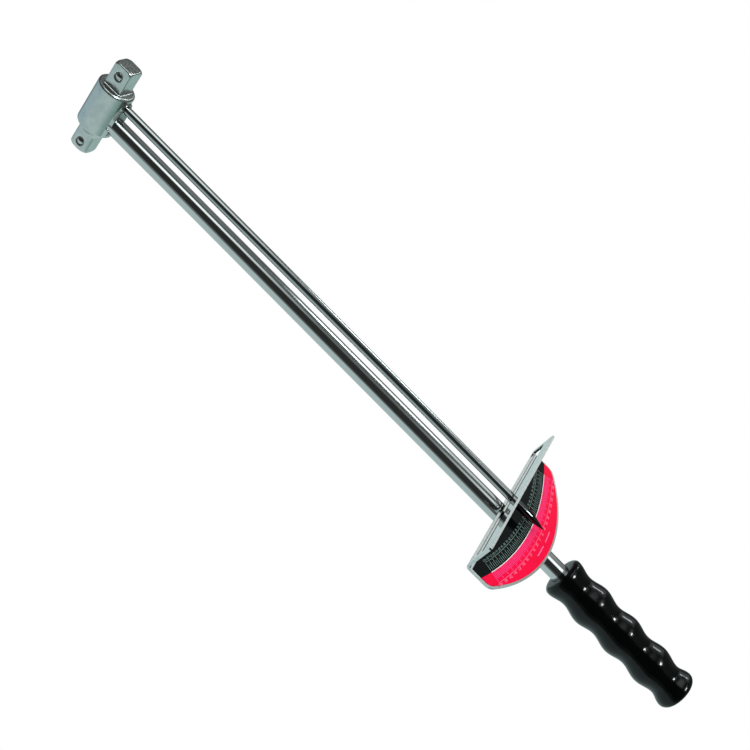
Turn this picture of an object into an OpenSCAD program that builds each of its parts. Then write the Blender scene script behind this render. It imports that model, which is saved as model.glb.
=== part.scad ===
// Deflecting-beam torque wrench: a T-shaped head with a square at both ends, a round spring-steel
// beam, a straight pointer rod, a bent scale plate with its printed scale, and a wavy grip.
// Millimetres. The origin is where the drive axis (Z) crosses the beam's centre line (X).
// +X runs from the head to the grip, +Z towards the longer square and the side the scale faces.

/* [Head] */
// Diameter of the head's round body
head_d = 23.4; // [21:0.2:29]
// Height of the shoulder round the upper square, above the beam's centre line
head_top = 21.5; // [20:0.5:27]
// Depth of the round body's lower rim, below the beam's centre line
head_bottom = 10.2; // [7.5:0.1:12]
// Length of the taper under the body, down to the lower square
neck_length = 4.8; // [4:0.1:10]
// Width of the chamfer round the upper shoulder
shoulder_chamfer = 0.9; // [0.3:0.1:1.5]
// How far the flat-faced boss stands out from the body
boss_proud = 0.7; // [0.3:0.1:4]
// Wall of metal round the pointer rod's socket, where the boss arches over it
boss_wall = 1.8; // [1.5:0.1:3]
// How deep the beam goes into the head, from the boss's face
beam_socket_depth = 18; // [12:0.5:20]
// How deep the pointer rod goes into the head, from the boss's face
rod_socket_depth = 15; // [8:0.5:18]

/* [Drive squares] */
// Size of both squares across their flats
drive_size = 12.7; // [10:0.1:16]
// Length of the upper square above the shoulder
upper_length = 16.2; // [14:0.1:22]
// Length of the lower square below the round body's lower rim
lower_length = 17.4; // [16:0.1:26]
// How much the upper square's corners are turned down, across the corners
upper_corner_cut = 0.9; // [0.4:0.1:1.5]
// How much the lower square's corners are turned down, across the corners
lower_corner_cut = 1.8; // [0.4:0.1:2]
// Radius of the rounded rim on the ends of both squares
end_round = 2.2; // [0.8:0.1:2.5]

/* [Detents] */
// Diameter of the detent balls
ball_d = 5.56; // [3:0.02:5.6]
// How far a ball stands out of its flat
ball_proud = 0.8; // [0.4:0.05:0.9]
// Distance from the upper square's end to its ball
upper_ball_back = 7; // [6:0.1:9]
// Distance from the lower square's end to its ball
lower_ball_back = 5.8; // [5.5:0.1:8]
// Depth of the lead-in cone round a ball
ball_lead = 0.6; // [0.2:0.05:0.8]
// Wire diameter of the detent springs
spring_wire = 0.5; // [0.3:0.05:0.6]
// Working turns of a detent spring
spring_turns = 4; // [3:0.5:5]

/* [Beam and pointer] */
// Diameter of the spring-steel beam
beam_d = 12; // [10:0.1:14]
// Length of the beam inside the grip
beam_in_grip = 75; // [60:1:79]
// Distance from the drive axis to the point the bent beam turns about
flex_x = 170; // [150:1:190]
// Largest angle the handle swings to each side as the beam bends
swing = 17.5; // [12:0.5:18]
// Diameter of the pointer rod
rod_d = 5.6; // [4:0.1:6]
// Free gap between the beam and the pointer rod
rod_gap = 5.3; // [4:0.1:7]
// How far the pointer reaches past the flange, over the scale
pointer_over = 28; // [20:0.5:32]
// Length of the pointer's conical tip
pointer_taper = 11; // [6:0.5:20]

/* [Scale plate] */
// Distance from the drive axis to the bent-up flange's outer face
plate_x = 339.5; // [330:0.5:341]
// Depth of the plate along the beam, at its middle
plate_depth = 41.2; // [38:0.2:46]
// Length of the plate's straight side edges
plate_side = 10; // [9:0.5:16]
// Radius of the corners between the sides and the curved edge
plate_corner = 8; // [4:0.5:9]
// Sheet thickness of the plate
sheet = 1.5; // [1:0.1:2]
// Inner radius of the bend
bend_r = 1; // [0.5:0.1:2]
// Height of the flange above the plate's underside
flange_h = 21.4; // [19:0.2:26]
// Radius of the flange's top corners
flange_corner = 2; // [1:0.5:5]
// Free gap in the slot above and below the pointer rod
slot_gap = 2.4; // [0.8:0.1:2.6]
// Free gap in the slot beside the pointer rod, at full swing
slot_end_gap = 8.3; // [2:0.1:12]
// Metal between an end of the slot and the end of the flange
slot_end_wall = 4.2; // [3:0.1:8]
// Radius of the slot's corners
slot_corner = 1; // [0.5:0.1:3]
// Depth of the flat on the beam that seats the plate
seat_depth = 0.4; // [0.2:0.1:1]

/* [Scale] */
// Thickness of the printed scale sheet
label_t = 0.2; // [0.1:0.05:0.4]
// Bare metal border round the scale sheet
label_border = 1.3; // [0.8:0.1:3]
// Bare metal strip between the flange and the scale sheet
label_strip = 1.2; // [1.1:0.1:3]

/* [Plate screws] */
// Thread diameter of the two plate screws
screw_d = 3; // [2:0.5:3.5]
// Diameter of the countersunk screw heads
screw_head_d = 5.5; // [5.2:0.1:6.5]
// Length of the plate screws under the sheet
screw_length = 6; // [4:0.5:8]
// Distance between the two plate screws
screw_pitch = 20; // [12:1:24]

/* [Grip] */
// Bare beam between the plate's curved edge and the grip's front face
grip_gap = 14.8; // [8:0.1:24]
// Diameter over the grip's ridges, at its front
grip_d = 27.8; // [22:0.2:32]
// Draft angle of the grip, which narrows towards its closed end
grip_draft = 0.35; // [0:0.05:1]
// Depth of the finger grooves
groove_depth = 2.3; // [1:0.1:3]
// Distance from one groove to the next
groove_pitch = 25.2; // [20:0.1:28]
// Number of finger grooves
groove_count = 4; // [3:1:4]
// Distance from the grip's front face to its first groove
first_groove = 14.2; // [13:0.1:18]
// Diameter of the front lip
lip_d = 27.2; // [22:0.2:28]
// Radius of the front lip's rim
lip_round = 3; // [1.5:0.5:4]
// Distance from the last groove to the grip's closed end
grip_tail = 12.2; // [11:0.1:16]
// Radius of the rim at the closed end
tail_round = 3.5; // [2:0.5:6]

/* [Clearances] */
// Radial running clearance between a ball and its bore
ball_gap = 0.06; // [0.03:0.01:0.1]
// Clearance between a spring and what it pushes on
spring_gap = 0.03; // [0.02:0.01:0.05]
// Radial clearance round the screws
screw_gap = 0.1; // [0.05:0.05:0.3]
// Radial clearance between a screw and its tapped hole
thread_gap = 0.03; // [0.02:0.01:0.05]
// Clearance between the beam's end and the bottom of the grip's bore
grip_bore_gap = 2; // [1:0.5:5]
// How far one cutting body runs past the face it cuts
past = 1; // [0.5:0.5:2]

/* [Hidden] */
$fn = 96;

CHROME = [0.74, 0.78, 0.78];
STEEL = [0.60, 0.62, 0.62];
BLACK = [0.06, 0.06, 0.07];
RED = [0.85, 0.07, 0.16];

// Head: the heights and reaches of its features
head_r = head_d / 2;
beam_r = beam_d / 2;
rod_r = rod_d / 2;
rod_z = beam_r + rod_gap + rod_r;
boss_x = head_r + boss_proud;
arch_r = rod_r + boss_wall;
upper_end = head_top + upper_length;
lower_end = -head_bottom - lower_length;
corner_d = drive_size * sqrt(2);
upper_ball_z = upper_end - upper_ball_back;
lower_ball_z = lower_end + lower_ball_back;

// Detents: along Y, measured from the -Y flat
flat_y = -drive_size / 2;
ball_r = ball_d / 2;
ball_y = flat_y - ball_proud + ball_r;
bore_r = ball_r + ball_gap;
lip_contact = 0.88;
lip_r = ball_r * lip_contact + ball_gap;
lip_y = ball_y - sqrt(pow(ball_r, 2) - pow(ball_r * lip_contact, 2));
lead_r = lip_r + ball_lead;
bore_bottom_y = drive_size / 2 - 3;
coil_r = bore_r - spring_wire / 2 - 0.35;
coil_start_y = ball_y + sqrt(pow(ball_r + spring_wire / 2 + spring_gap, 2) - pow(coil_r, 2));
coil_end_y = bore_bottom_y - spring_wire / 2 - spring_gap;

// Scale plate: the sheet lies on the beam's flat, and its outer edge is an arc about the beam line
plate_z = beam_r - seat_depth;
plate_top = plate_z + sheet;
slot_half = (plate_x + sheet - flex_x) * tan(swing) + rod_r + slot_end_gap;
plate_half = slot_half + slot_end_wall;
plate_outer_x = plate_x + plate_depth;
side_x = plate_x + plate_side;
arc_rise = plate_outer_x - side_x - plate_corner;
arc_r = (pow(plate_half, 2) + pow(arc_rise, 2)) / (2 * arc_rise);
arc_x = plate_outer_x - arc_r;
flange_top = plate_z + flange_h;
slot_h = rod_d + 2 * slot_gap;
screw_x = [for (side = [-1, 1]) plate_x + plate_depth / 2 + 1 + side * screw_pitch / 2];
screw_cone = (screw_head_d - screw_d) / 2;
pointer_reach = plate_x + pointer_over;

// Grip: the stations of its outline, measured along X
grip_x = plate_outer_x + grip_gap;
groove_x = [for (i = [0 : groove_count - 1]) grip_x + first_groove + i * groove_pitch];
last_groove_x = groove_x[groove_count - 1];
grip_end_x = last_groove_x + grip_tail;
tail_r = drafted_r(grip_end_x);
lip_x = grip_x + lip_round;
tail_x = grip_end_x - tail_round;
beam_reach = grip_x + beam_in_grip;
grip_bore_end = beam_reach + grip_bore_gap;

// Points of an arc about (x, y), from one angle to another
function arc(x, y, r, a0, a1, n) =
    [for (i = [0 : n]) let (a = a0 + (a1 - a0) * i / n) [x + r * cos(a), y + r * sin(a)]];

// A cylinder along +Y that starts at y0
module along_y(y0, length, r1, r2) {
    translate([0, y0, 0]) rotate([-90, 0, 0]) cylinder(h = length, r1 = r1, r2 = r2);
}

// A cylinder along +X that starts at x0
module along_x(x0, length, r) {
    translate([x0, 0, 0]) rotate([0, 90, 0]) cylinder(h = length, r = r);
}

// A square post from z0 up to z1, with its corners turned down and its upper rim rounded
module drive_square(z0, z1, corner_cut) {
    turned_r = (corner_d - corner_cut) / 2;
    intersection() {
        translate([flat_y, flat_y, z0]) cube([drive_size, drive_size, z1 - z0]);
        rotate_extrude() polygon(concat(
            [[0, z0], [turned_r, z0]],
            arc(turned_r - end_round, z1 - end_round, end_round, 0, 90, 10),
            [[0, z1]]));
    }
}

// The bore, staked mouth and lead-in cone of one detent, cut from the -Y flat
module detent_bore() {
    along_y(lip_y, bore_bottom_y - lip_y, bore_r, bore_r);
    along_y(flat_y - past, lip_y - flat_y + 2 * past, lip_r, lip_r);
    along_y(flat_y, ball_lead, lead_r, lip_r);
    along_y(flat_y - past, past, lead_r, lead_r);
}

// The round body, from the shoulder down through the neck's taper
module head_body() {
    neck_r = drive_size / 2;
    rim_round = 1.6;
    neck_z = -head_bottom - neck_length;
    rotate_extrude() polygon(concat(
        [[0, neck_z], [neck_r, neck_z]],
        [for (i = [1 : 7]) let (t = i / 8)
            [neck_r + (head_r - rim_round - neck_r) * pow(t, 1.5), neck_z + neck_length * t]],
        arc(head_r - rim_round, -head_bottom + rim_round, rim_round, -90, 0, 6),
        [[head_r, head_top - shoulder_chamfer], [head_r - shoulder_chamfer, head_top],
            [0, head_top]]));
}

// The flat-faced boss that the beam and the rod go into: it flares out from the neck, is as wide
// as the beam, and arches over the rod
module head_boss() {
    flare_z = -head_bottom - neck_length * 0.7;
    intersection() {
        translate([0, beam_r, 0]) rotate([90, 0, 0]) linear_extrude(beam_d)
            polygon([[0, rod_z + arch_r], [boss_x, rod_z + arch_r], [boss_x, -beam_r],
                [drive_size / 2, flare_z], [0, flare_z]]);
        rotate([90, 0, 90]) linear_extrude(boss_x)
            polygon(concat([[-beam_r, flare_z], [beam_r, flare_z], [beam_r, beam_r]],
                arc(0, rod_z, arch_r, 0, 180, 16), [[-beam_r, beam_r]]));
    }
}

module drive_head() {
    color(CHROME) difference() {
        union() {
            head_body();
            head_boss();
            drive_square(0, upper_end, upper_corner_cut);
            mirror([0, 0, 1]) drive_square(0, -lower_end, lower_corner_cut);
        }
        along_x(boss_x - beam_socket_depth, beam_socket_depth + past, beam_r);
        translate([0, 0, rod_z]) along_x(boss_x - rod_socket_depth, rod_socket_depth + past, rod_r);
        translate([0, 0, upper_ball_z]) detent_bore();
        translate([0, 0, lower_ball_z]) detent_bore();
    }
}

module detent_ball(z) {
    color(STEEL) translate([0, ball_y, z]) sphere(ball_r);
}

module upper_detent_ball() detent_ball(upper_ball_z);
module lower_detent_ball() detent_ball(lower_ball_z);

// A coil spring along Y: a ring of wire points for each step round the coil
module detent_spring(z) {
    sides = 8;
    steps = 16 * spring_turns;
    function ring(i) = let (a = 360 * spring_turns * i / steps,
        y = coil_start_y + (coil_end_y - coil_start_y) * i / steps)
        [for (k = [0 : sides - 1]) let (b = 360 * k / sides,
            r = coil_r + spring_wire / 2 * cos(b))
            [r * cos(a), y + spring_wire / 2 * sin(b), r * sin(a)]];
    points = [for (i = [0 : steps]) each ring(i)];
    walls = [for (i = [0 : steps - 1], k = [0 : sides - 1]) let (n = (k + 1) % sides)
        [i * sides + k, (i + 1) * sides + k, (i + 1) * sides + n, i * sides + n]];
    caps = [[for (k = [0 : sides - 1]) k],
        [for (k = [sides - 1 : -1 : 0]) steps * sides + k]];
    color(STEEL) translate([0, 0, z]) polyhedron(points, concat(walls, caps));
}

module upper_detent_spring() detent_spring(upper_ball_z);
module lower_detent_spring() detent_spring(lower_ball_z);

module beam() {
    start_x = boss_x - beam_socket_depth;
    color(CHROME) difference() {
        along_x(start_x, beam_reach - start_x, beam_r);
        translate([plate_x - bend_r, -beam_r, plate_z])
            cube([plate_depth + 2 * bend_r, beam_d, beam_d]);
        for (x = screw_x) translate([x, 0, plate_z - screw_length])
            cylinder(h = screw_length + past, r = screw_d / 2 + thread_gap);
    }
}

module pointer_rod() {
    start_x = boss_x - rod_socket_depth;
    taper_x = pointer_reach - pointer_taper;
    tip_r = 0.25;
    color(CHROME) translate([0, 0, rod_z]) rotate([0, 90, 0]) rotate_extrude()
        polygon([[0, start_x], [rod_r, start_x], [rod_r, taper_x], [tip_r, pointer_reach],
            [0, pointer_reach]]);
}

// Half of a sheet outline (+Y side) from the middle of its outer arc round to the straight edge,
// moved in by a border; the other half is its mirror
function half_outline(border, straight_x) = let (
    r = arc_r - border,
    c = plate_corner - border,
    cy = plate_half - plate_corner,
    cx = arc_x + sqrt(pow(r - c, 2) - pow(cy, 2)),
    turn = atan2(cy, cx - arc_x))
    concat(arc(arc_x, 0, r, 0, turn, 24), arc(cx, cy, c, turn, 90, 8),
        [[straight_x, plate_half - border]]);

module sheet_outline(border, straight_x) {
    half = half_outline(border, straight_x);
    polygon(concat(half, [for (i = [len(half) - 1 : -1 : 1]) [half[i].x, -half[i].y]]));
}

// The flange seen along X, as a 2D shape with u across the beam and v up
module flange_outline() {
    straight = plate_half - flange_corner;
    low = plate_z + sheet + bend_r;
    difference() {
        polygon(concat([[plate_half, low]],
            arc(straight, flange_top - flange_corner, flange_corner, 0, 90, 8),
            arc(-straight, flange_top - flange_corner, flange_corner, 90, 180, 8),
            [[-plate_half, low]]));
        translate([-slot_half, rod_z - slot_h / 2 + slot_corner])
            square([2 * slot_half, slot_h - 2 * slot_corner]);
        translate([-slot_half + slot_corner, rod_z - slot_h / 2])
            square([2 * (slot_half - slot_corner), slot_h]);
        for (side = [-1, 1], end = [-1, 1]) translate([side * (slot_half - slot_corner),
            rod_z + end * (slot_h / 2 - slot_corner)]) circle(slot_corner);
    }
}

module scale_plate() {
    bend_out = sheet + bend_r;
    color(CHROME) difference() {
        union() {
            translate([0, 0, plate_z]) linear_extrude(sheet)
                sheet_outline(0, plate_x + bend_out);
            translate([plate_x, 0, 0]) rotate([90, 0, 90]) linear_extrude(sheet) flange_outline();
            intersection() {
                translate([plate_x + bend_out, plate_half, plate_z + bend_out]) rotate([90, 0, 0])
                    difference() {
                        cylinder(h = 2 * plate_half, r = bend_out);
                        translate([0, 0, -past]) cylinder(h = 2 * (plate_half + past), r = bend_r);
                    }
                translate([plate_x, -plate_half, plate_z]) cube([bend_out, 2 * plate_half, bend_out]);
            }
        }
        for (x = screw_x) translate([x, 0, plate_z]) {
            translate([0, 0, -past]) cylinder(h = sheet + 2 * past, r = screw_d / 2 + screw_gap);
            translate([0, 0, sheet - screw_cone]) cylinder(h = screw_cone + past / 2,
                r1 = screw_d / 2 + screw_gap, r2 = screw_head_d / 2 + screw_gap + past / 2);
        }
    }
}

// The scale: a thin printed sheet; its inner field is black and its outer field red
module scale_label() {
    label_x = plate_x + sheet + bend_r + label_strip;
    color(RED) translate([0, 0, plate_top]) linear_extrude(label_t)
        sheet_outline(label_border, label_x);
}

// Two identical countersunk screws, flush under the scale sheet
module plate_screws() {
    color(STEEL) for (x = screw_x) translate([x, 0, plate_top])
        rotate_extrude() polygon([[0, 0], [screw_head_d / 2, 0],
            [screw_d / 2, -screw_cone], [screw_d / 2, -sheet - screw_length + past],
            [0, -sheet - screw_length + past]]);
}

// Radius over the grip's ridges at a station along X
function drafted_r(x) = grip_d / 2 - (x - grip_x) * tan(grip_draft);

// Radius of the wavy part of the grip at a station along X
function wave_r(x) = drafted_r(x)
    - groove_depth / 2 * (1 + cos(360 * (x - groove_x[0]) / groove_pitch));

module grip() {
    wave_steps = 12 * (groove_count - 1);
    lip_r2 = lip_d / 2;
    outline = concat(
        [[0, grip_x]],
        arc(lip_r2 - lip_round, lip_x, lip_round, -90, 0, 6),
        [for (i = [0 : wave_steps])
            let (x = groove_x[0] + (last_groove_x - groove_x[0]) * i / wave_steps) [wave_r(x), x]],
        arc(tail_r - tail_round, tail_x, tail_round, 0, 90, 8),
        [[0, grip_end_x]]);
    color(BLACK) difference() {
        rotate([0, 90, 0]) rotate_extrude() polygon(outline);
        along_x(grip_x - past, grip_bore_end - grip_x + past, beam_r);
    }
}

drive_head();
upper_detent_ball();
upper_detent_spring();
lower_detent_ball();
lower_detent_spring();
beam();
pointer_rod();
scale_plate();
scale_label();
plate_screws();
grip();
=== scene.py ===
# %% [markdown]
# # A deflecting-beam torque wrench
# A round steel beam joins a T-shaped head to a grip. A second, thinner rod starts in the head
# too, but nothing pulls on it, so it stays straight while the beam bends, and its tip reads
# the torque on a scale plate. The head, the bars and the plate are chromed, the scale is a
# printed sheet, and the grip is black moulded plastic. This script loads the measured model
# as a fixed frame, and gives each part its finish or a finer mesh in the same place.

# %% Load the frame
import math

import bmesh
import bpy
import numpy as np
from mathutils import Matrix, Vector


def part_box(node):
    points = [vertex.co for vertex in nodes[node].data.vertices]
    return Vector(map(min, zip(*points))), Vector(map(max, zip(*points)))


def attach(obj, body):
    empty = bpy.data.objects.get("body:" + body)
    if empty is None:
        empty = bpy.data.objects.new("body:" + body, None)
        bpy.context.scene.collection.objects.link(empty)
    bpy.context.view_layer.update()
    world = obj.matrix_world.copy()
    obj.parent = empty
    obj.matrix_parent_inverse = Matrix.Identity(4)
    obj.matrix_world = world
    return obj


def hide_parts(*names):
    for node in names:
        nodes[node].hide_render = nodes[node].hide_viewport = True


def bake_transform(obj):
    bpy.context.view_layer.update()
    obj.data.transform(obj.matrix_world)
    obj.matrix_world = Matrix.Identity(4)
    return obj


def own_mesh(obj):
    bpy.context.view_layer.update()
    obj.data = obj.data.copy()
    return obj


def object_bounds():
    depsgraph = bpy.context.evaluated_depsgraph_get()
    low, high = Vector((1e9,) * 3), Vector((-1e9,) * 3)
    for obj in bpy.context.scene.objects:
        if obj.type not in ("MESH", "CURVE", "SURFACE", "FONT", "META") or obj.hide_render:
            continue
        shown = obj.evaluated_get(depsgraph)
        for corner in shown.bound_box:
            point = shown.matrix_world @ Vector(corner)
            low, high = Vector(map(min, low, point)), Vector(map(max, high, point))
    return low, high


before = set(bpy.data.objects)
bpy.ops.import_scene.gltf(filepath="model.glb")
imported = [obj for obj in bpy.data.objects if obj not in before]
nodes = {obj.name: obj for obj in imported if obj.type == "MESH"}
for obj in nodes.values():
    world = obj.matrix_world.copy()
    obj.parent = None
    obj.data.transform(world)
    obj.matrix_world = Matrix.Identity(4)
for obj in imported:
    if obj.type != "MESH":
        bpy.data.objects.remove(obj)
cad_low, cad_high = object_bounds()
scene = bpy.context.scene
MM = 0.001
print("frame:", len(nodes), "nodes, box", [round(v / MM, 1) for v in (*cad_low, *cad_high)])

# %% [markdown]
# ## Camera
# The wrench is a long, thin thing, so it is shown corner to corner: the camera looks down at
# it from one side and is rolled until the beam runs along the diagonal. The lens is only a
# little longer than a normal one, so the head and the grip keep a slight perspective.

# %% Camera
LOOK_AT = Vector((0.2301, 0.0039, 0.0041))
TILT = math.radians(33.51)
ROLL = math.radians(45.18)
DISTANCE = 0.6189


def add_camera(lens, sensor):
    forward = Vector((0, math.cos(TILT), -math.sin(TILT)))
    level = Vector((1, 0, 0))
    upright = level.cross(forward)
    right = level * math.cos(ROLL) + upright * math.sin(ROLL)
    up = upright * math.cos(ROLL) - level * math.sin(ROLL)
    pose = Matrix((right, up, -forward)).transposed().to_4x4()
    pose.translation = LOOK_AT - forward * DISTANCE
    data = bpy.data.cameras.new("camera")
    data.lens = lens
    data.sensor_width = sensor
    camera = bpy.data.objects.new("camera", data)
    camera.matrix_world = pose
    scene.collection.objects.link(camera)
    scene.camera = camera
    return camera


camera = add_camera(lens=48.75, sensor=36)
scene.view_settings.view_transform = "Standard"
print("camera at", [round(v, 3) for v in camera.matrix_world.translation])

# %% [markdown]
# ## Node helpers
# Materials and the studio are node trees. A few small helpers keep them readable: one adds a
# node and fills or links its sockets, some do arithmetic or mix two values or colours, and one
# turns a value into a smooth step between two limits. Masks and soft edges are made of steps.


# %% Node helpers
def put(tree, kind, sockets=None, **settings):
    """Adds a node, makes its settings, and sets or links its sockets."""
    node = tree.nodes.new("ShaderNode" + kind)
    for name, value in settings.items():
        setattr(node, name, value)
    for key, value in (sockets or {}).items():
        if isinstance(value, bpy.types.NodeSocket):
            tree.links.new(value, node.inputs[key])
        else:
            node.inputs[key].default_value = value
    return node


def calc(tree, operation, *values):
    return put(tree, "Math", dict(enumerate(values)), operation=operation).outputs[0]


def product(tree, first, *rest):
    for value in rest:
        first = calc(tree, "MULTIPLY", first, value)
    return first


def step(tree, value, start, end, low=0.0, high=1.0):
    """Goes smoothly from low at start to high at end."""
    sockets = {"Value": value, "From Min": start, "From Max": end, "To Min": low, "To Max": high}
    return put(tree, "MapRange", sockets, interpolation_type="SMOOTHSTEP").outputs["Result"]


def fade(tree, value, *edges):
    """1 inside every edge. An edge is the two values that it goes from 0 to 1 between."""
    return product(tree, *[step(tree, value, start, end) for start, end in edges])


def mix_value(tree, factor, first, second):
    """Goes from the first number to the second as the factor goes from 0 to 1."""
    return calc(tree, "MULTIPLY_ADD", factor, calc(tree, "SUBTRACT", second, first), first)


def mix(tree, factor, first, second, blend="MIX"):
    """Mixes two colours."""
    node = put(tree, "Mix", data_type="RGBA", blend_type=blend)
    for socket, value in ((0, factor), (6, first), (7, second)):
        if isinstance(value, bpy.types.NodeSocket):
            tree.links.new(value, node.inputs[socket])
        else:
            node.inputs[socket].default_value = value
    return node.outputs[2]


print("node helpers ready")

# %% [markdown]
# ## Studio
# Chrome shows its surroundings and almost nothing of itself, so the surroundings are designed
# like a set: a pale floor below, a dark room in front, two softboxes overhead, a grey wall and
# a window behind, and a tube and two small lamps for the sharp glints. They are painted on the
# world by direction, with soft edges, and they stay in place when the view changes. Height is
# the angle from the level behind the wrench (0) over the top (90) to the level in front (180).
# The camera itself sees plain white.

# %% World painted by direction
def angles(*degrees):
    return tuple(math.radians(value) for value in degrees)


# How bright each light is.
ROOM = 0.038
ROOM_TINT = (0.92, 1.0, 0.99)
SOFTBOX, SOFTBOX_BETWEEN = 1.75, 0.16
WINDOW = 0.74
TUBE = 14.0
LAMP_RIGHT, LAMP_LEFT = 75.0, 2.0
WALL_DARK, WALL, WALL_GLOW = 0.06, 0.11, 0.12
FLOOR_TONE = (0.60, 0.755, 0.753, 1)
FLOOR_GREEN = (0.22, 0.40, 0.34, 1)
FLOOR_BLUE = (0.48, 0.64, 0.69, 1)

# How high each light's edges are, as the two heights that an edge fades between.
SOFTBOX_LOW_LEFT, SOFTBOX_LOW_RIGHT = angles(52, 84), angles(72, 92)
SOFTBOX_HIGH = angles(120, 108)
WINDOW_LOW, WINDOW_HIGH = angles(16, 28), angles(74, 62)
TUBE_LOW, TUBE_HIGH = angles(43, 45.5), angles(52, 49.5)
LAMP_LOW, LAMP_HIGH = angles(94, 98), angles(109, 105)
WALL_TOP = angles(88, 76)

# How far along the wrench they reach, by the X part of the direction.
SOFTBOX_SPLIT, SOFTBOX_GAP = (-0.1, 0.1), (0.05, 0.27)
SOFTBOX_RIGHT, SOFTBOX_LEFT = (0.36, 0.29), (-0.52, -0.44)
WINDOW_LEFT, WINDOW_RIGHT = (-0.15, -0.05), (0.28, 0.19)
TUBE_LEFT, TUBE_RIGHT = (-0.12, -0.06), (0.11, 0.05)
LAMP_RIGHT_ENDS = ((0.29, 0.33), (0.42, 0.38))
LAMP_LEFT_ENDS = ((-0.33, -0.37), (-0.47, -0.43))
WALL_FROM = (-0.34, -0.18)
GLOW_ENDS = ((-0.37, -0.29), (-0.12, -0.28))

# Where the floor changes its tone, and where it meets the room.
FLOOR_EDGE = (-0.22, -0.38)
BEHIND = (0.2, 0.5)
GREEN_FROM, BLUE_FROM = (0.58, 0.92), (-0.30, -0.75)
GREEN_BEHIND, GREEN_BEHIND_PART = (0.22, 0.34), 0.5
DARK_BEHIND, DARK_BEHIND_PART = (-0.22, -0.30), 0.75


def paint_world():
    world = bpy.data.worlds.new("studio")
    world.use_nodes = True
    tree = world.node_tree
    tree.nodes.clear()
    direction = put(tree, "TexCoord").outputs["Generated"]
    x, y, z = put(tree, "SeparateXYZ", {0: direction}).outputs
    aside = calc(tree, "ABSOLUTE", x)
    height = calc(tree, "ARCTAN2", z, y)
    low = mix_value(tree, fade(tree, x, SOFTBOX_SPLIT), fade(tree, height, SOFTBOX_LOW_LEFT),
                    fade(tree, height, SOFTBOX_LOW_RIGHT))
    over = product(tree, low, fade(tree, height, SOFTBOX_HIGH))
    ends = product(tree, fade(tree, aside, SOFTBOX_GAP), fade(tree, x, SOFTBOX_RIGHT, SOFTBOX_LEFT))
    level = calc(tree, "MULTIPLY_ADD", ends, SOFTBOX - SOFTBOX_BETWEEN, SOFTBOX_BETWEEN)
    softbox = product(tree, over, level)
    pane = product(tree, fade(tree, height, WINDOW_LOW, WINDOW_HIGH),
                   fade(tree, x, WINDOW_LEFT, WINDOW_RIGHT))
    window = product(tree, pane, WINDOW)
    strip = product(tree, fade(tree, height, TUBE_LOW, TUBE_HIGH), fade(tree, x, TUBE_LEFT, TUBE_RIGHT))
    tube = product(tree, strip, TUBE)
    right = product(tree, fade(tree, x, *LAMP_RIGHT_ENDS), LAMP_RIGHT)
    left = product(tree, fade(tree, x, *LAMP_LEFT_ENDS), LAMP_LEFT)
    lamps = product(tree, fade(tree, height, LAMP_LOW, LAMP_HIGH), calc(tree, "ADD", left, right))
    near_head = product(tree, fade(tree, x, *GLOW_ENDS), WALL_GLOW)
    level = calc(tree, "ADD", near_head, step(tree, x, *WALL_FROM, WALL_DARK, WALL))
    wall = product(tree, fade(tree, height, WALL_TOP), level)
    grey = ROOM
    for part in (softbox, window, tube, lamps, wall):
        grey = calc(tree, "ADD", part, grey)
    room = put(tree, "VectorMath", {0: ROOM_TINT, "Scale": grey}, operation="SCALE").outputs[0]
    pale = mix(tree, fade(tree, x, GREEN_FROM), FLOOR_TONE, FLOOR_GREEN)
    pale = mix(tree, fade(tree, x, BLUE_FROM), pale, FLOOR_BLUE)
    behind = fade(tree, y, BEHIND)
    green = product(tree, behind, fade(tree, x, GREEN_BEHIND), GREEN_BEHIND_PART)
    pale = mix(tree, green, pale, FLOOR_GREEN)
    dark = product(tree, fade(tree, x, DARK_BEHIND), behind, DARK_BEHIND_PART)
    lit = product(tree, fade(tree, z, FLOOR_EDGE), calc(tree, "SUBTRACT", 1.0, dark))
    set_tone = mix(tree, lit, room, pale)
    seen = put(tree, "LightPath").outputs["Is Camera Ray"]
    tone = mix(tree, seen, set_tone, (1, 1, 1, 1))
    background = put(tree, "Background", {"Color": tone, "Strength": 1.0})
    put(tree, "OutputWorld", {"Surface": background.outputs[0]})
    scene.world = world
    return world


print("world nodes:", len(paint_world().node_tree.nodes))

# %% [markdown]
# ## Floor and key light
# The floor is a large pale sheet just under the wrench. It glows evenly, so it has no visible
# edge or shadow. The key light is a wide panel overhead that the printed scale and the grip
# need: paint and plastic show light that falls on them, where chrome only mirrors it.

# %% Floor and key light
FLOOR_SIZE = 6.0
KEY_POWER = 7.2
KEY_SIZE = 1.2
KEY_PLACE = (0.25, -0.1, 1.1)


def add_floor():
    mesh = bmesh.new()
    half = FLOOR_SIZE / 2
    corners = ((-half, -half), (half, -half), (half, half), (-half, half))
    mesh.faces.new([mesh.verts.new((x, y, cad_low.z)) for x, y in corners])
    data = bpy.data.meshes.new("floor")
    mesh.to_mesh(data)
    mesh.free()
    floor = bpy.data.objects.new("floor", data)
    scene.collection.objects.link(floor)
    material = bpy.data.materials.new("pale_floor")
    material.use_nodes = True
    tree = material.node_tree
    tree.nodes.clear()
    glow = put(tree, "Emission", {"Color": (1, 1, 1, 1), "Strength": 1.0})
    put(tree, "OutputMaterial", {"Surface": glow.outputs[0]})
    data.materials.append(material)
    floor.visible_glossy = False
    floor.visible_diffuse = False


def add_key_light():
    data = bpy.data.lights.new("key_panel", "AREA")
    data.shape = "SQUARE"
    data.size = KEY_SIZE
    data.energy = KEY_POWER
    key = bpy.data.objects.new("key_panel", data)
    key.location = KEY_PLACE
    key.visible_glossy = False
    scene.collection.objects.link(key)


add_floor()
add_key_light()
print("floor at z", round(cad_low.z / MM, 1), "mm")

# %% [markdown]
# ## Shared surface effects
# Real chrome and plastic are never even. Polishing leaves fine lines, handling leaves smudges,
# and edges rub bright. Each of these effects is a node group with its own controls, built once
# and placed in several materials with different values.


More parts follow.
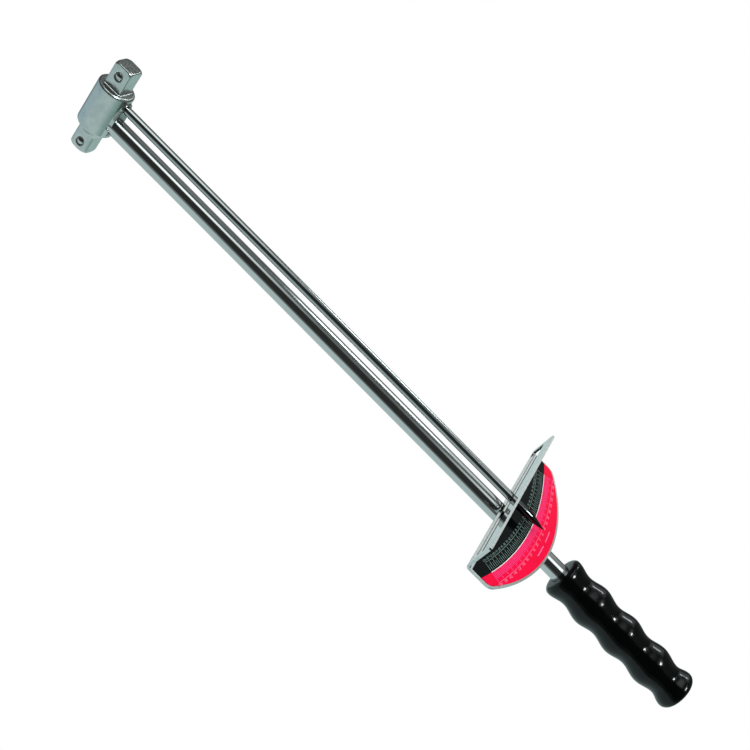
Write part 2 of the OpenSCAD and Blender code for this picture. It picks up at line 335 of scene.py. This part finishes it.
# %% Shared groups
SCRATCH_BEND = 0.01
BENDS_PER_METRE = 90.0
SCRATCH_PATCHES_PER_METRE = 160.0
WEAR_SPOTS_PER_METRE = 700.0


def new_group(name, inputs, outputs):
    group = bpy.data.node_groups.new(name, "ShaderNodeTree")
    for title, kind, value in inputs:
        socket = group.interface.new_socket(name=title, in_out="INPUT", socket_type=kind)
        if value is not None:
            socket.default_value = value
    for title, kind in outputs:
        group.interface.new_socket(name=title, in_out="OUTPUT", socket_type=kind)
    entry = group.nodes.new("NodeGroupInput").outputs
    leave = group.nodes.new("NodeGroupOutput").inputs
    return group, entry, leave


def make_polish_lines():
    """Fine parallel lines: Grain says how often they change along each axis."""
    group, entry, leave = new_group(
        "polish_lines",
        [("Position", "NodeSocketVector", None), ("Grain", "NodeSocketVector", (60, 4000, 4000))],
        [("Height", "NodeSocketFloat")])
    stretched = put(group, "VectorMath", {0: entry["Position"], 1: entry["Grain"]}, operation="MULTIPLY")
    noise = put(group, "TexNoise", {"Vector": stretched.outputs[0], "Scale": 1.0, "Detail": 3.0,
                                    "Roughness": 0.6})
    group.links.new(noise.outputs[0], leave["Height"])
    return group


def make_smudges():
    """Soft patches left by hands and cloths, with a finer mottle inside them."""
    group, entry, leave = new_group(
        "smudges",
        [("Position", "NodeSocketVector", None), ("Size", "NodeSocketFloat", 0.02),
         ("Mottle Size", "NodeSocketFloat", 0.002)],
        [("Patch", "NodeSocketFloat"), ("Mottle", "NodeSocketFloat")])
    for title, size in (("Patch", "Size"), ("Mottle", "Mottle Size")):
        scale = calc(group, "DIVIDE", 1.0, entry[size])
        noise = put(group, "TexNoise", {"Vector": entry["Position"], "Scale": scale, "Detail": 3.0,
                                        "Roughness": 0.55})
        group.links.new(step(group, noise.outputs[0], 0.3, 0.7), leave[title])
    return group


def make_scratches():
    """Thin stray scratches: the borders of stretched cells, kept only here and there."""
    group, entry, leave = new_group(
        "stray_scratches",
        [("Position", "NodeSocketVector", None), ("Length", "NodeSocketFloat", 0.012),
         ("Width", "NodeSocketFloat", 0.02)],
        [("Scratch", "NodeSocketFloat")])
    scale = calc(group, "DIVIDE", 1.0, entry["Length"])
    bent = put(group, "TexNoise", {"Vector": entry["Position"], "Scale": BENDS_PER_METRE, "Detail": 1.0})
    shift = put(group, "VectorMath", {0: bent.outputs[1], "Scale": SCRATCH_BEND}, operation="SCALE")
    moved = put(group, "VectorMath", {0: entry["Position"], 1: shift.outputs[0]}, operation="ADD")
    cells = put(group, "TexVoronoi", {"Vector": moved.outputs[0], "Scale": scale},
                feature="DISTANCE_TO_EDGE")
    line = step(group, cells.outputs["Distance"], entry["Width"], 0.0)
    kept = put(group, "TexNoise", {"Vector": entry["Position"], "Scale": SCRATCH_PATCHES_PER_METRE,
                                   "Detail": 1.0})
    group.links.new(product(group, line, step(group, kept.outputs[0], 0.55, 0.68)), leave["Scratch"])
    return group


def make_edge_wear():
    """Where an outer edge is rubbed: the mesh's own sharpness, broken up by noise."""
    group, entry, leave = new_group(
        "edge_wear",
        [("Position", "NodeSocketVector", None), ("Start", "NodeSocketFloat", 0.52),
         ("End", "NodeSocketFloat", 0.60)],
        [("Worn", "NodeSocketFloat")])
    sharp = put(group, "NewGeometry").outputs["Pointiness"]
    noise = put(group, "TexNoise", {"Vector": entry["Position"], "Scale": WEAR_SPOTS_PER_METRE,
                                    "Detail": 2.0})
    edge = step(group, sharp, entry["Start"], entry["End"])
    group.links.new(product(group, edge, step(group, noise.outputs[0], 0.35, 0.6)), leave["Worn"])
    return group


polish_lines = make_polish_lines()
smudges = make_smudges()
scratches = make_scratches()
edge_wear = make_edge_wear()
print("groups:", [g.name for g in bpy.data.node_groups])

# %% [markdown]
# ## Material helpers
# Every finish is one Principled shader with node groups feeding it. A value that is the same
# all over the surface is set on the shader itself, and only what changes over the surface is
# linked. Object coordinates are in metres here, so a pattern's size is its real size.


# %% Material helpers
def new_material(name, **sockets):
    """A Principled material whose plain values are set on the shader's own sockets."""
    material = bpy.data.materials.new(name)
    material.use_nodes = True
    tree = material.node_tree
    tree.nodes.clear()
    shader = put(tree, "BsdfPrincipled")
    for socket, value in sockets.items():
        shader.inputs[socket.replace("_", " ")].default_value = value
    put(tree, "OutputMaterial", {"Surface": shader.outputs[0]})
    position = put(tree, "TexCoord").outputs["Object"]
    return material, tree, shader.inputs, position


def use(tree, group, sockets):
    node = tree.nodes.new("ShaderNodeGroup")
    node.node_tree = group
    for key, value in sockets.items():
        if isinstance(value, bpy.types.NodeSocket):
            tree.links.new(value, node.inputs[key])
        else:
            node.inputs[key].default_value = value
    return node.outputs


def bump(tree, shader, height):
    node = put(tree, "Bump", {"Height": height, "Distance": MM, "Strength": 1.0})
    tree.links.new(node.outputs[0], shader["Normal"])


print("material helpers ready")

# %% [markdown]
# ## Metal finishes
# All the metals are the same recipe with different values: a base tone that varies a little in
# patches, a roughness made of the polish, smudges and stray scratches, and a bump from the
# polishing lines. The beam and the rod were ground and chromed bright. The head was forged and
# tumbled first, so its chrome is satin and mottled. The sheet keeps faint rolling lines.


# %% Metals
# Painted reflection: a dark tone on the rod's far end, standing in for its reflection of the black scale
# below it.
TIP_PAINTED_REFLECTION = (0.075, 0.085, 0.085, 1)
# Painted shade: a darker tone on the head's boss face, in the corner where the bars go in.
BOSS_PAINTED_SHADE = (0.20, 0.24, 0.23, 1)
WORN = (0.9, 0.9, 0.88, 1)
WORN_PART = 0.35
SCRATCH_ROUGH = 0.10
# How wide the soft edge is where a painted dark tone begins.
PAINTED_DARK_FADE = 0.0008
BOSS_FACE = 0.0117
TIP_FROM = 0.3400


def metal(name, light, dark, rough, rough_smudge, grain, line_height, patch=0.02, mottle=0.002,
          mottle_height=0.0, painted_dark_from=None, painted_dark=None):
    """Grain is the lines' pitch along each axis. Past a given X the tone turns to a painted dark tone,
    standing in for shade and dark reflections.
    """
    material, tree, shader, position = new_material(name, Metallic=1.0)
    soft = use(tree, smudges, {"Position": position, "Size": patch, "Mottle Size": mottle})
    lines = use(tree, polish_lines, {"Position": position, "Grain": grain})["Height"]
    marks = use(tree, scratches, {"Position": position})["Scratch"]
    wear = use(tree, edge_wear, {"Position": position})["Worn"]
    tone = calc(tree, "MULTIPLY_ADD", soft["Mottle"], 0.5, calc(tree, "MULTIPLY", soft["Patch"], 0.5))
    colour = mix(tree, tone, light, dark)
    colour = mix(tree, product(tree, wear, WORN_PART), colour, WORN)
    if painted_dark_from:
        x = put(tree, "SeparateXYZ", {0: position}).outputs[0]
        colour = mix(tree, step(tree, x, painted_dark_from, painted_dark_from + PAINTED_DARK_FADE), colour, painted_dark)
    tree.links.new(colour, shader["Base Color"])
    smear = calc(tree, "MULTIPLY_ADD", soft["Patch"], rough_smudge, rough)
    smear = calc(tree, "MULTIPLY_ADD", soft["Mottle"], rough_smudge, smear)
    smear = calc(tree, "MULTIPLY_ADD", marks, SCRATCH_ROUGH, smear)
    tree.links.new(smear, shader["Roughness"])
    height = calc(tree, "MULTIPLY", lines, line_height)
    height = calc(tree, "MULTIPLY_ADD", soft["Mottle"], mottle_height, height)
    height = calc(tree, "MULTIPLY_ADD", marks, -line_height, height)
    bump(tree, shader, height)
    return material


# From BOSS_FACE along X the head's tone is painted darker, as painted shade where the bars enter the boss.
head_chrome = metal("head_chrome", (0.60, 0.615, 0.60, 1), (0.52, 0.56, 0.55, 1), 0.22, 0.06,
                    (900, 900, 2500), 0.001, patch=0.010, mottle=0.0035, mottle_height=0.002,
                    painted_dark_from=BOSS_FACE, painted_dark=BOSS_PAINTED_SHADE)
bar_chrome = metal("bar_chrome", (0.585, 0.595, 0.59, 1), (0.545, 0.56, 0.555, 1), 0.05, 0.025,
                   (40, 3500, 3500), 0.004, patch=0.03, mottle=0.004)
plate_chrome = metal("plate_chrome", (0.60, 0.61, 0.605, 1), (0.56, 0.575, 0.57, 1), 0.09, 0.04,
                     (3000, 60, 3000), 0.005, patch=0.02, mottle=0.003)
# From TIP_FROM along X the rod's tone is painted dark, as a painted reflection of the black scale under the
# tip.
rod_chrome = metal("rod_chrome", (0.43, 0.45, 0.445, 1), (0.37, 0.395, 0.39, 1), 0.08, 0.03,
                   (40, 3500, 3500), 0.004, patch=0.03, mottle=0.004,
                   painted_dark_from=TIP_FROM, painted_dark=TIP_PAINTED_REFLECTION)
bearing_steel = metal("bearing_steel", (0.58, 0.58, 0.56, 1), (0.50, 0.50, 0.49, 1), 0.06, 0.02,
                      (2500, 2500, 2500), 0.002, patch=0.002, mottle=0.0004)
spring_steel = metal("spring_steel", (0.42, 0.42, 0.42, 1), (0.32, 0.32, 0.33, 1), 0.22, 0.06,
                     (4000, 400, 4000), 0.006, patch=0.002, mottle=0.0004)
screw_steel = metal("screw_steel", (0.60, 0.60, 0.58, 1), (0.50, 0.50, 0.47, 1), 0.22, 0.08,
                    (2000, 2000, 600), 0.006, patch=0.004, mottle=0.0006)
metals = (head_chrome, bar_chrome, plate_chrome, rod_chrome, bearing_steel, spring_steel, screw_steel)
print("metals:", ", ".join(material.name for material in metals))

# %% [markdown]
# ## Grip plastic
# The grip is moulded in black plastic with a wet gloss. The mould's polish shows as a very fine
# texture, the palm leaves it a little duller in patches, and the ridges carry hairline scuffs.

# %% Grip plastic
GRIP_BLACK = (0.0004, 0.0012, 0.0010, 1)
GRIP_SCUFFED = (0.006, 0.007, 0.007, 1)


def make_grip_plastic():
    material, tree, shader, position = new_material("grip_plastic", IOR=1.35)
    soft = use(tree, smudges, {"Position": position, "Size": 0.016, "Mottle Size": 0.0009})
    marks = use(tree, scratches, {"Position": position, "Length": 0.009, "Width": 0.012})["Scratch"]
    wear = use(tree, edge_wear, {"Position": position, "Start": 0.505, "End": 0.54})["Worn"]
    rubbed = calc(tree, "MAXIMUM", marks, product(tree, wear, 0.6))
    tree.links.new(mix(tree, rubbed, GRIP_BLACK, GRIP_SCUFFED), shader["Base Color"])
    smear = calc(tree, "MULTIPLY_ADD", soft["Patch"], 0.05, 0.09)
    tree.links.new(calc(tree, "MULTIPLY_ADD", rubbed, 0.12, smear), shader["Roughness"])
    height = calc(tree, "MULTIPLY_ADD", marks, -0.01, product(tree, soft["Mottle"], 0.012))
    bump(tree, shader, height)
    return material


grip_plastic = make_grip_plastic()
print("grip plastic nodes:", len(grip_plastic.node_tree.nodes))

# %% [markdown]
# ## Printed scale
# The scale is drawn in the shader, in polar coordinates about the point that the bent beam
# turns about, because that is how the real one was laid out: every arc has that centre and
# every tick points at it. An arc is a band of radius, a tick is a band of angle. The inner
# field is black and the outer field crimson, with a pale line between them, and each field
# has its own divisions. The rules beside the numbers stand where units would be printed.

# %% Scale layout
TURN_X = 0.170
DIVIDER_R = 0.1927
SWING = math.radians(17.3)
PRINT_WHITE = (0.70, 0.66, 0.68, 1)
PRINT_PINK = (0.84, 0.15, 0.34, 1)
PRINT_TICK = (0.80, 0.08, 0.36, 1)
PRINT_BLACK = (0.0010, 0.0022, 0.0022, 1)
PRINT_GREEN = (0.16, 0.245, 0.215, 1)
PRINT_RED = (0.84, 0.0015, 0.045, 1)
SHEET_STAIN = (0.62, 0.008, 0.04, 1)
OUTER = {"units": 40, "every": 4, "near": 0.1933, "far": 0.1972, "long": 0.1990, "half": 0.00020}
INNER = {"units": 30, "every": 2, "near": 0.1917, "far": 0.1886, "long": 0.1870, "half": 0.00018}
OUTER_ARC_R, INNER_ARC_R, ARC_HALF = 0.1997, 0.1864, 0.00012
DIVIDER_HALF = 0.00024
FIELD_SOFT = 0.0001
ENDS_PAST = (0.0035, 0.0015)
RULE_R, RULE_HALF = 0.2048, 0.00030
RULE_REACH, RULE_SOFT, RULE_GAP = 0.068, 0.001, (0.010, 0.012)


def band(tree, value, middle, half, soft=0.00008):
    """1 where value is within half of middle, with a soft edge."""
    off = calc(tree, "ABSOLUTE", calc(tree, "SUBTRACT", value, middle))
    return step(tree, off, half + soft, half - soft)


def ticks(tree, radius, angle, scale):
    """Divisions of one scale: short ticks, and a long one every few."""
    low, high = sorted((scale["near"], scale["far"]))
    long_low, long_high = min(low, scale["long"]), max(high, scale["long"])
    pitch = SWING / scale["units"]
    half_width = scale["half"]
    marks = []
    for every, ends in ((1, (low, high)), (scale["every"], (long_low, long_high))):
        part = calc(tree, "DIVIDE", angle, pitch * every)
        away = calc(tree, "ABSOLUTE", calc(tree, "SUBTRACT", part, calc(tree, "ROUND", part)))
        across = product(tree, away, radius, pitch * every)
        line = step(tree, across, half_width * 1.4, half_width * 0.6)
        reach = band(tree, radius, (ends[0] + ends[1]) / 2, (ends[1] - ends[0]) / 2)
        marks.append(product(tree, line, reach))
    return calc(tree, "MAXIMUM", *marks)


print("scale: divisions", OUTER["units"], "outer,", INNER["units"], "inner")

# %% [markdown]
# The layers are mixed in the order that they would be printed: the two fields first, then the
# ticks and arcs, then the rules and the pale dividing line. Ticks and arcs stop just past the
# last division. Faint stains and scratches go over everything, as they do on a used scale.


# %% Scale material
def make_scale_print():
    material, tree, shader, position = new_material("scale_print", IOR=1.13)
    x, y, _ = put(tree, "SeparateXYZ", {0: position}).outputs
    along = calc(tree, "SUBTRACT", x, TURN_X)
    radius = calc(tree, "SQRT", calc(tree, "MULTIPLY_ADD", along, along, product(tree, y, y)))
    angle = calc(tree, "ARCTAN2", y, along)
    off_centre = calc(tree, "ABSOLUTE", angle)
    inside = step(tree, off_centre, SWING + ENDS_PAST[0], SWING + ENDS_PAST[1])
    crimson = step(tree, radius, DIVIDER_R - FIELD_SOFT, DIVIDER_R + FIELD_SOFT)
    colour = mix(tree, crimson, PRINT_BLACK, PRINT_RED)
    outer = ticks(tree, radius, angle, OUTER)
    colour = mix(tree, product(tree, outer, inside), colour, PRINT_TICK)
    arc = band(tree, radius, OUTER_ARC_R, ARC_HALF)
    colour = mix(tree, product(tree, arc, inside), colour, PRINT_PINK)
    arc = band(tree, radius, INNER_ARC_R, ARC_HALF)
    inner = calc(tree, "MAXIMUM", ticks(tree, radius, angle, INNER), arc)
    colour = mix(tree, product(tree, inner, inside), colour, PRINT_GREEN)
    rule = product(tree, band(tree, radius, RULE_R, RULE_HALF), band(tree, angle, 0.0, RULE_REACH, RULE_SOFT))
    colour = mix(tree, product(tree, rule, fade(tree, off_centre, RULE_GAP)), colour, PRINT_PINK)
    line = band(tree, radius, DIVIDER_R, DIVIDER_HALF)
    colour = mix(tree, product(tree, line, inside), colour, PRINT_WHITE)
    soft = use(tree, smudges, {"Position": position, "Size": 0.014, "Mottle Size": 0.0012})
    marks = use(tree, scratches, {"Position": position, "Length": 0.010, "Width": 0.010})["Scratch"]
    colour = mix(tree, product(tree, soft["Patch"], 0.10), colour, SHEET_STAIN, "MULTIPLY")
    tree.links.new(colour, shader["Base Color"])
    smear = calc(tree, "MULTIPLY_ADD", soft["Patch"], 0.05, 0.10)
    tree.links.new(calc(tree, "MULTIPLY_ADD", marks, 0.15, smear), shader["Roughness"])
    height = calc(tree, "MULTIPLY_ADD", marks, -0.008, product(tree, soft["Mottle"], 0.004))
    bump(tree, shader, height)
    return material


scale_print = make_scale_print()
print("scale nodes:", len(scale_print.node_tree.nodes))

# %% [markdown]
# ## Ink for the numbers
# The numbers are printed with the same inks as the ticks. Ink lies a little unevenly, so its
# tone varies in fine patches and it is slightly duller than the sheet.


# %% Inks
def make_ink(name, thick, thin):
    material, tree, shader, position = new_material(name, IOR=1.22)
    soft = use(tree, smudges, {"Position": position, "Size": 0.003, "Mottle Size": 0.0003})
    tree.links.new(mix(tree, soft["Mottle"], thick, thin), shader["Base Color"])
    tree.links.new(step(tree, soft["Patch"], 0.0, 1.0, 0.18, 0.30), shader["Roughness"])
    return material


pink_ink = make_ink("pink_ink", (0.88, 0.22, 0.38, 1), (0.82, 0.12, 0.27, 1))
green_ink = make_ink("green_ink", (0.20, 0.29, 0.26, 1), (0.12, 0.19, 0.17, 1))
print("inks:", pink_ink.name, green_ink.name)

# %% [markdown]
# ## Turned parts
# The beam, the rod and the grip are all turned shapes, so one helper makes them: it spins an
# outline of stations, each a place along X and a radius, round the X axis. A station with no
# radius closes an end with a single point.


# %% Lathe
SHARP_ABOVE = math.radians(35)
NO_RADIUS = 1e-9


def lathe(name, outline, sides, centre_z=0.0, shape=None):
    """Spins (x, radius) stations round X. shape may move a point after it is placed."""
    mesh = bmesh.new()
    rings = []
    for x, r in outline:
        if r < NO_RADIUS:
            rings.append([mesh.verts.new((x, 0, centre_z))])
            continue
        ring = []
        for i in range(sides):
            turn = 2 * math.pi * i / sides
            point = Vector((x, r * math.cos(turn), centre_z + r * math.sin(turn)))
            ring.append(mesh.verts.new(shape(point) if shape else point))
        rings.append(ring)
    for a, b in zip(rings, rings[1:]):
        for i in range(sides):
            j = (i + 1) % sides
            corners = [a[i % len(a)], b[i % len(b)], b[j % len(b)], a[j % len(a)]]
            mesh.faces.new(list(dict.fromkeys(corners)))
    bmesh.ops.recalc_face_normals(mesh, faces=mesh.faces)
    data = bpy.data.meshes.new(name)
    mesh.to_mesh(data)
    mesh.free()
    data.shade_smooth()
    data.set_sharp_from_angle(angle=SHARP_ABOVE)
    piece = bpy.data.objects.new(name, data)
    scene.collection.objects.link(piece)
    return piece


def rounded(x, r, size, start, end, count):
    """Stations of a quarter-round edge of that size, between two angles in degrees."""
    for i in range(count + 1):
        turn = math.radians(start + (end - start) * i / count)
        yield x + size * math.sin(turn), r + size * math.cos(turn)


print("lathe ready")

# %% [markdown]
# ## Beam
# The beam is a ground bar of spring steel. It bends along its free length when the wrench is
# pulled, so its mesh has a station every few millimetres. A shallow flat is milled where the
# scale plate sits on it.

# %% Beam
BEAM_R = 0.006
(beam_start, *_), (beam_end, *_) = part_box("beam")
plate_low, plate_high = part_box("scale_plate")
UNDER_BEND = 0.0008
FLAT_PAST = 0.001
FLAT_FROM, FLAT_TO = plate_low.x + UNDER_BEND, plate_high.x + FLAT_PAST
FLAT_Z = plate_low.z
EDGE = 0.0005
STATION_GAP = 0.004
FLAT_STEP = 1e-5


def mill_flat(point):
    """Cuts the bar down to the flat between its two ends."""
    if FLAT_FROM <= point.x <= FLAT_TO:
        point.z = min(point.z, FLAT_Z)
    return point


def make_beam():
    first, last = beam_start + STATION_GAP / 2, beam_end - STATION_GAP / 2
    stations = set(np.round(np.arange(first, last, STATION_GAP), 5))
    stations |= {FLAT_FROM - FLAT_STEP, FLAT_FROM, FLAT_TO, FLAT_TO + FLAT_STEP}
    outline = [(beam_start, 0.0), (beam_start, BEAM_R - EDGE)]
    outline += [(float(x), BEAM_R) for x in sorted(stations)]
    outline += [(beam_end, BEAM_R - EDGE), (beam_end, 0.0)]
    return lathe("bending_beam", outline, 72, shape=mill_flat)


beam = make_beam()
beam.data.materials.append(bar_chrome)
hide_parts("beam")
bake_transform(beam)
print("beam:", len(beam.data.vertices), "points,", round((beam_end - beam_start) / MM, 1), "mm long")

# %% [markdown]
# ## Pointer rod
# The rod carries no load. It is a plain ground rod pressed into the head, turned to a cone at
# its far end, and that point reads the scale.

# %% Pointer rod
rod_low, rod_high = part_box("pointer_rod")
ROD_R = (rod_high.y - rod_low.y) / 2
ROD_Z = (rod_high.z + rod_low.z) / 2
TAPER = 0.011
TIP_R = 0.00025
ROD_STATIONS, TIP_STATIONS = 40, 12


def make_rod():
    taper_x = rod_high.x - TAPER
    outline = [(rod_low.x, 0.0), (rod_low.x, ROD_R)]
    for i in range(1, ROD_STATIONS + 1):
        outline.append((rod_low.x + (taper_x - rod_low.x) * i / ROD_STATIONS, ROD_R))
    for i in range(1, TIP_STATIONS + 1):
        part = i / TIP_STATIONS
        outline.append((taper_x + (TAPER - TIP_R) * part, ROD_R + (TIP_R - ROD_R) * part))
    outline += [(rod_high.x, TIP_R * 0.5), (rod_high.x, 0.0)]
    return lathe("pointer", outline, 48, centre_z=ROD_Z)


rod = make_rod()
rod.data.materials.append(rod_chrome)
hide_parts("pointer_rod")
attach(rod, "head")
print("rod: radius", round(ROD_R / MM, 2), "mm at z", round(ROD_Z / MM, 2))

# %% [markdown]
# ## Grip
# The grip's outline is a wave of finger grooves along a slightly narrowing barrel, with a
# rolled lip in front and a rounded end. The stations are close together so that the wave is
# smooth, and the bore is left in so that the front shows a real hole round the beam.

# %% Grip
grip_low, grip_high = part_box("grip")
GRIP_R = 0.0139
LIP_R = 0.0136
LIP_ROUND = 0.003
DRAFT = math.tan(math.radians(0.35))
GROOVE_DEPTH = 0.0023
GROOVE_PITCH = 0.0252
FIRST_GROOVE = grip_low.x + 0.0142
LAST_GROOVE = FIRST_GROOVE + 3 * GROOVE_PITCH
TAIL_ROUND = 0.0035
BORE_R = 0.00605
BORE_EDGE = 0.0004
BORE_PAST = 0.002


def barrel_r(x):
    """Radius over the ridges, which narrows towards the closed end."""
    return GRIP_R - (x - grip_low.x) * DRAFT


def wave_r(x):
    """Radius in the grooves: a wave that touches the barrel at each ridge."""
    wave = 1 + math.cos(2 * math.pi * (x - FIRST_GROOVE) / GROOVE_PITCH)
    return barrel_r(x) - GROOVE_DEPTH / 2 * wave


def ease(x, x0, r0, x1, r1):
    """A half wave from one station to another."""
    return r0 + (r1 - r0) * (1 - math.cos(math.pi * (x - x0) / (x1 - x0))) / 2


def make_grip():
    front, back = grip_low.x, grip_high.x
    lip_x, tail_x = front + LIP_ROUND, back - TAIL_ROUND
    tail_r = barrel_r(back)
    bore_x = beam_end + BORE_PAST
    outline = [(bore_x, 0.0), (bore_x, BORE_R), (front + BORE_EDGE, BORE_R), (front, BORE_R + BORE_EDGE)]
    outline += rounded(lip_x, LIP_R - LIP_ROUND, LIP_ROUND, -90, 0, 10)
    for x in np.linspace(lip_x, FIRST_GROOVE, 14)[1:-1]:
        outline.append((float(x), ease(x, lip_x, LIP_R, FIRST_GROOVE, wave_r(FIRST_GROOVE))))
    for x in np.linspace(FIRST_GROOVE, LAST_GROOVE, 109):
        outline.append((float(x), wave_r(x)))
    for x in np.linspace(LAST_GROOVE, tail_x, 14)[1:-1]:
        outline.append((float(x), ease(x, LAST_GROOVE, wave_r(LAST_GROOVE), tail_x, tail_r)))
    outline += rounded(tail_x, tail_r - TAIL_ROUND, TAIL_ROUND, 0, 90, 12)
    outline.append((back, 0.0))
    return lathe("wavy_grip", outline, 96)


grip = make_grip()
grip.data.materials.append(grip_plastic)
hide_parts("grip")
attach(grip, "handle")
print("grip:", len(grip.data.vertices), "points")

# %% [markdown]
# ## Head
# The head is one forging: a round body with a square above and below, a neck, and a boss that
# the bars go into. Forging and tumbling leave every corner soft, which a measured solid does
# not show. So a copy of its solid is rebuilt in fine even cells, and then relaxed a little:
# outer corners become round and inner ones get a fillet, as on the real one.

# %% Head
CELL = 0.00034
RELAX, RELAX_TIMES = 0.5, 5
WELD = 1e-7


def make_head():
    data = nodes["drive_head"].data.copy()
    data.materials.clear()
    mesh = bmesh.new()
    mesh.from_mesh(data)
    bmesh.ops.remove_doubles(mesh, verts=mesh.verts, dist=WELD)
    mesh.to_mesh(data)
    mesh.free()
    piece = bpy.data.objects.new("forged_head", data)
    scene.collection.objects.link(piece)
    cells = piece.modifiers.new("cells", "REMESH")
    cells.mode = "VOXEL"
    cells.voxel_size = CELL
    relax = piece.modifiers.new("relax", "SMOOTH")
    relax.factor = RELAX
    relax.iterations = RELAX_TIMES
    graph = bpy.context.evaluated_depsgraph_get()
    final = bpy.data.meshes.new_from_object(piece.evaluated_get(graph))
    piece.modifiers.clear()
    piece.data = final
    final.shade_smooth()
    return piece


head = make_head()
head.data.materials.append(head_chrome)
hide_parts("drive_head")
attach(head, "head")
print("head:", len(head.data.vertices), "points")

# %% [markdown]
# ## Numbers on the scale
# Each number is a flat letter shape from the built-in font, laid on the printed sheet and turned
# about the beam's turning point. The tops of the figures point at the head, so they are read
# from the grip. Each scale's numbers are joined into one mesh, as one printing.

# %% Numbers
_, label_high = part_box("scale_label")
INK = 0.00002
OUTER_FULL, OUTER_STEP, OUTER_NUMBER_R, OUTER_NUMBER_SIZE = 200, 20, 0.2010, 0.0024
INNER_FULL, INNER_STEP, INNER_NUMBER_R, INNER_NUMBER_SIZE = 150, 10, 0.1851, 0.0021


def add_numbers(name, full, every, radius, size, ink):
    """Numbers from 0 to full on both sides of the middle, joined into one mesh."""
    joined = bmesh.new()
    for value in range(0, full + 1, every):
        for side in ((1,) if value == 0 else (-1, 1)):
            text = bpy.data.curves.new(name, "FONT")
            text.body = str(value)
            text.size = size
            text.extrude = INK
            text.align_x = "CENTER"
            text.align_y = "CENTER"
            sample = bpy.data.objects.new(name, text)
            scene.collection.objects.link(sample)
            graph = bpy.context.evaluated_depsgraph_get()
            data = bpy.data.meshes.new_from_object(sample.evaluated_get(graph))
            turn = side * SWING * value / full
            face = Matrix(((0, -1, 0), (1, 0, 0), (0, 0, 1))).to_4x4()
            place = (Matrix.Translation((TURN_X, 0, label_high.z + INK)) @ Matrix.Rotation(turn, 4, "Z")
                     @ Matrix.Translation((radius, 0, 0)) @ face)
            data.transform(place)
            joined.from_mesh(data)
            bpy.data.objects.remove(sample)
            bpy.data.meshes.remove(data)
    data = bpy.data.meshes.new(name)
    joined.to_mesh(data)
    joined.free()
    piece = bpy.data.objects.new(name, data)
    scene.collection.objects.link(piece)
    data.materials.append(ink)
    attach(piece, "handle")
    return piece


outer_numbers = add_numbers("outer_numbers", OUTER_FULL, OUTER_STEP, OUTER_NUMBER_R, OUTER_NUMBER_SIZE,
                            pink_ink)
inner_numbers = add_numbers("inner_numbers", INNER_FULL, INNER_STEP, INNER_NUMBER_R, INNER_NUMBER_SIZE,
                            green_ink)
print("numbers:", len(outer_numbers.data.polygons) + len(inner_numbers.data.polygons), "faces")

# %% [markdown]
# ## Detent springs
# A small coil spring sits behind each ball and pushes it out of its flat. The spring has to
# get shorter when its ball is pressed in, so it is swept here as one round wire along a helix.

# %% Springs
WIRE_R = 0.00025
TURNS = 4
RINGS_A_TURN, WIRE_SIDES = 28, 10


def make_spring(node, name):
    low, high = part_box(node)
    centre = (low + high) / 2
    coil_r = (high.x - low.x) / 2 - WIRE_R
    start, end = low.y + WIRE_R, high.y - WIRE_R
    mesh = bmesh.new()
    rings = []
    count = RINGS_A_TURN * TURNS
    for i in range(count + 1):
        turn = 2 * math.pi * TURNS * i / count
        middle = Vector((centre.x + coil_r * math.cos(turn), start + (end - start) * i / count,
                         centre.z + coil_r * math.sin(turn)))
        out = Vector((math.cos(turn), 0, math.sin(turn)))
        ring = []
        for k in range(WIRE_SIDES):
            side = 2 * math.pi * k / WIRE_SIDES
            ring.append(mesh.verts.new(middle + out * WIRE_R * math.cos(side)
                                       + Vector((0, WIRE_R * math.sin(side), 0))))
        rings.append(ring)
    for a, b in zip(rings, rings[1:]):
        for k in range(WIRE_SIDES):
            n = (k + 1) % WIRE_SIDES
            mesh.faces.new((a[k], b[k], b[n], a[n]))
    mesh.faces.new(rings[0])
    mesh.faces.new(rings[-1][::-1])
    bmesh.ops.recalc_face_normals(mesh, faces=mesh.faces)
    data = bpy.data.meshes.new(name)
    mesh.to_mesh(data)
    mesh.free()
    data.shade_smooth()
    piece = bpy.data.objects.new(name, data)
    scene.collection.objects.link(piece)
    data.materials.append(spring_steel)
    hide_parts(node)
    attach(piece, "head")
    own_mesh(piece)
    return piece


make_spring("upper_detent_spring", "upper_coil")
make_spring("lower_detent_spring", "lower_coil")

# %% [markdown]
# ## Finishes on the measured parts
# The scale plate, its printed sheet, the screws and the detent balls have the right shape
# already, so they stay as they are and only get their finish.

# %% Finishes
FINISHES = {
    "scale_plate": plate_chrome,
    "scale_label": scale_print,
    "plate_screws": screw_steel,
    "upper_detent_ball": bearing_steel,
    "lower_detent_ball": bearing_steel,
}
for name, material in FINISHES.items():
    nodes[name].data.materials.clear()
    nodes[name].data.materials.append(material)
print("finished:", ", ".join(FINISHES))
